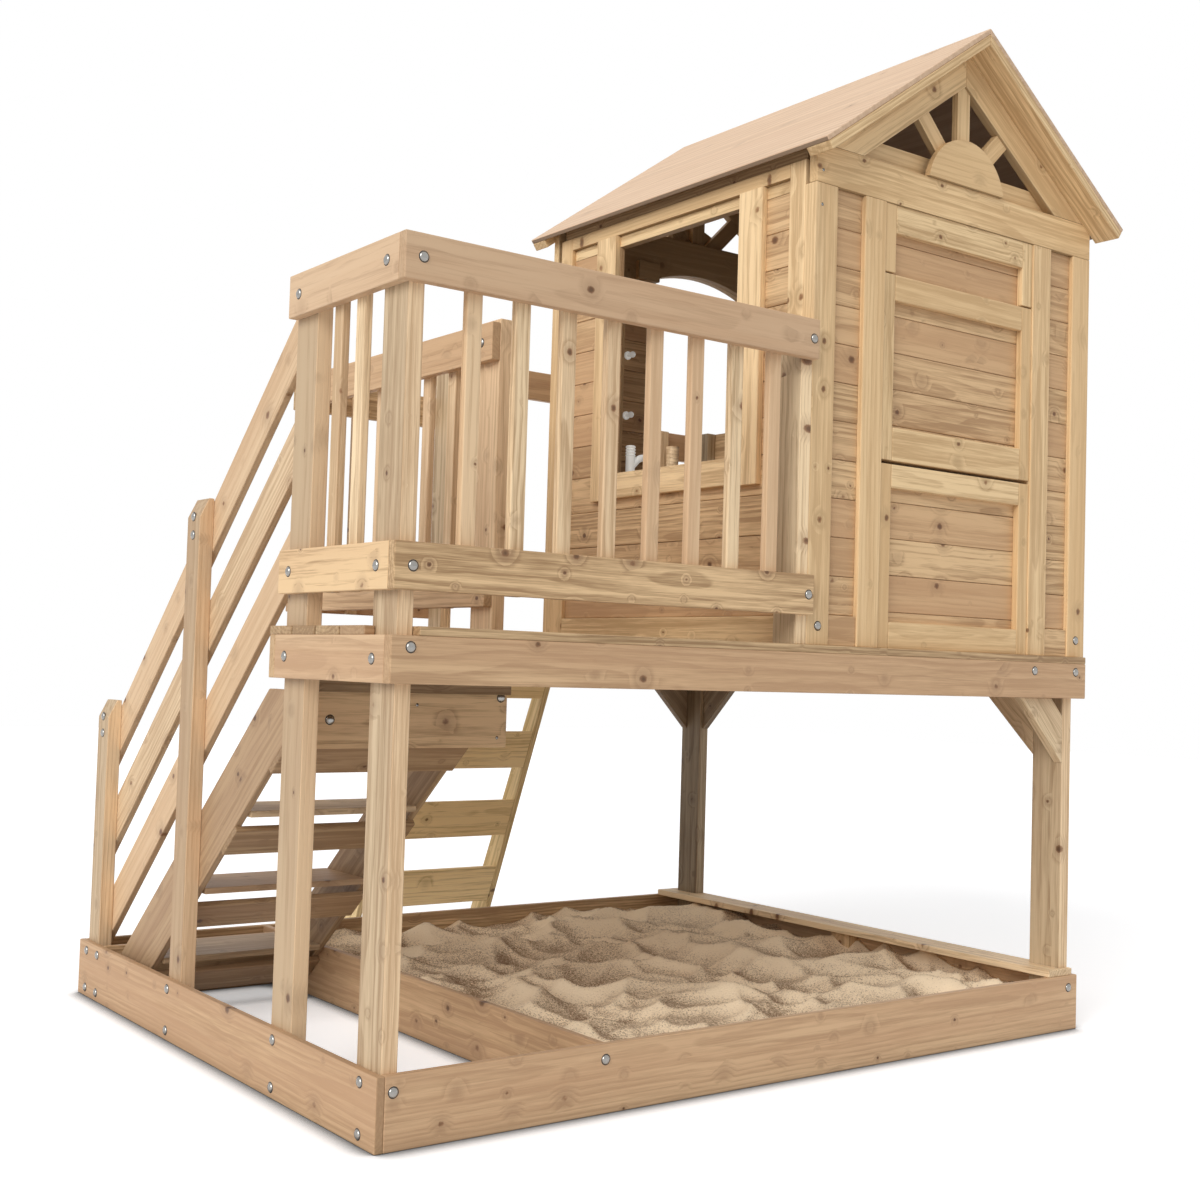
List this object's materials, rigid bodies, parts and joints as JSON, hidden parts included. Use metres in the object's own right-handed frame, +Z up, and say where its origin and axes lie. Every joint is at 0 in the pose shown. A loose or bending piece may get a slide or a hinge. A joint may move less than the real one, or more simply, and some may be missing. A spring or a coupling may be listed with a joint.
{
  "type": "wooden_play_centre",
  "caption": "Raised wooden play deck with a small gabled house, railings, a stair with handrails, a ladder and a sandpit below",
  "frame": {"origin": "middle of the footprint, on the ground", "axes": "+X along the front to the right, +Y from the front to the back, +Z up"},
  "size_m": [2.177, 2.1026, 2.5134],
  "materials": {
    "fir": "planed natural softwood with knots and streaks",
    "yellow_fir": "planed softwood, a little yellower",
    "cladding": "tongue and groove boards, tan",
    "treated": "rough pressure-treated softwood, greenish",
    "roof_ply": "plain roof sheet",
    "zinc": "zinc-plated, satin",
    "white_plastic": "white, smooth",
    "sink_plastic": "grey, smooth",
    "play_sand": "loose fine sand"
  },
  "bodies": {
    "frame": {"base_left": "fir", "base_front": "fir", "base_right": "fir", "base_back": "fir", "sandpit_divider": "fir", "stair_end_board": "fir", "seat_plank": "fir", "seat_support": "fir", "sand_fill": "play_sand", "post_front_left": "fir", "post_stair": "fir", "post_front_right": "fir", "post_back_right": "fir", "guard_posts": "fir", "newel_lower": "fir", "newel_upper": "fir", "railing_posts": "fir", "knee_braces": "fir", "deck_beam_front": "fir", "deck_beam_left": "fir", "deck_beam_stair": "fir", "deck_beam_well": "fir", "deck_beam_back": "fir", "deck_beam_right": "fir", "deck_joists": "fir", "deck_boards": "fir", "stair_header": "fir", "stair_stringers": "fir", "stair_treads": "fir", "stair_under_boards": "fir", "handrails": "fir", "landing_rails": "fir", "guard_rails": "fir", "rear_rails": "fir", "ladder_grab_rail": "fir", "railing_balusters": "fir", "ladder_stiles": "treated", "ladder_rungs": "treated", "house_posts": "yellow_fir", "gable_bands": "yellow_fir", "house_plates": "yellow_fir", "front_cladding": "cladding", "front_panel_frames": "yellow_fir", "front_panel_boards": "cladding", "side_cladding": "cladding", "window_trims": "yellow_fir", "back_cladding": "cladding", "roof_sheets": "roof_ply", "barge_boards": "yellow_fir", "roof_rafters": "yellow_fir", "gable_sunbursts": "yellow_fir", "kitchen_bench": "fir", "kitchen_sink": "sink_plastic", "tap_column": "white_plastic", "wall_hooks": "white_plastic", "bench_peg": "fir", "carriage_bolts": "zinc"},
    "spout": {"tap_spout": "white_plastic"},
    "knob": {"tap_knob": "white_plastic"}
  },
  "joints": [
    {"name": "spout_swivel", "type": "hinge", "parent": "frame", "child": "spout", "pos_m": [0.1135, -0.19031, 1.426], "axis": [0, 0, 1], "range_deg": [-90, 90]},
    {"name": "knob_turn", "type": "hinge", "parent": "frame", "child": "knob", "pos_m": [0.1135, -0.19031, 1.48], "axis": [0, 0, 1], "continuous": true}
  ]
}
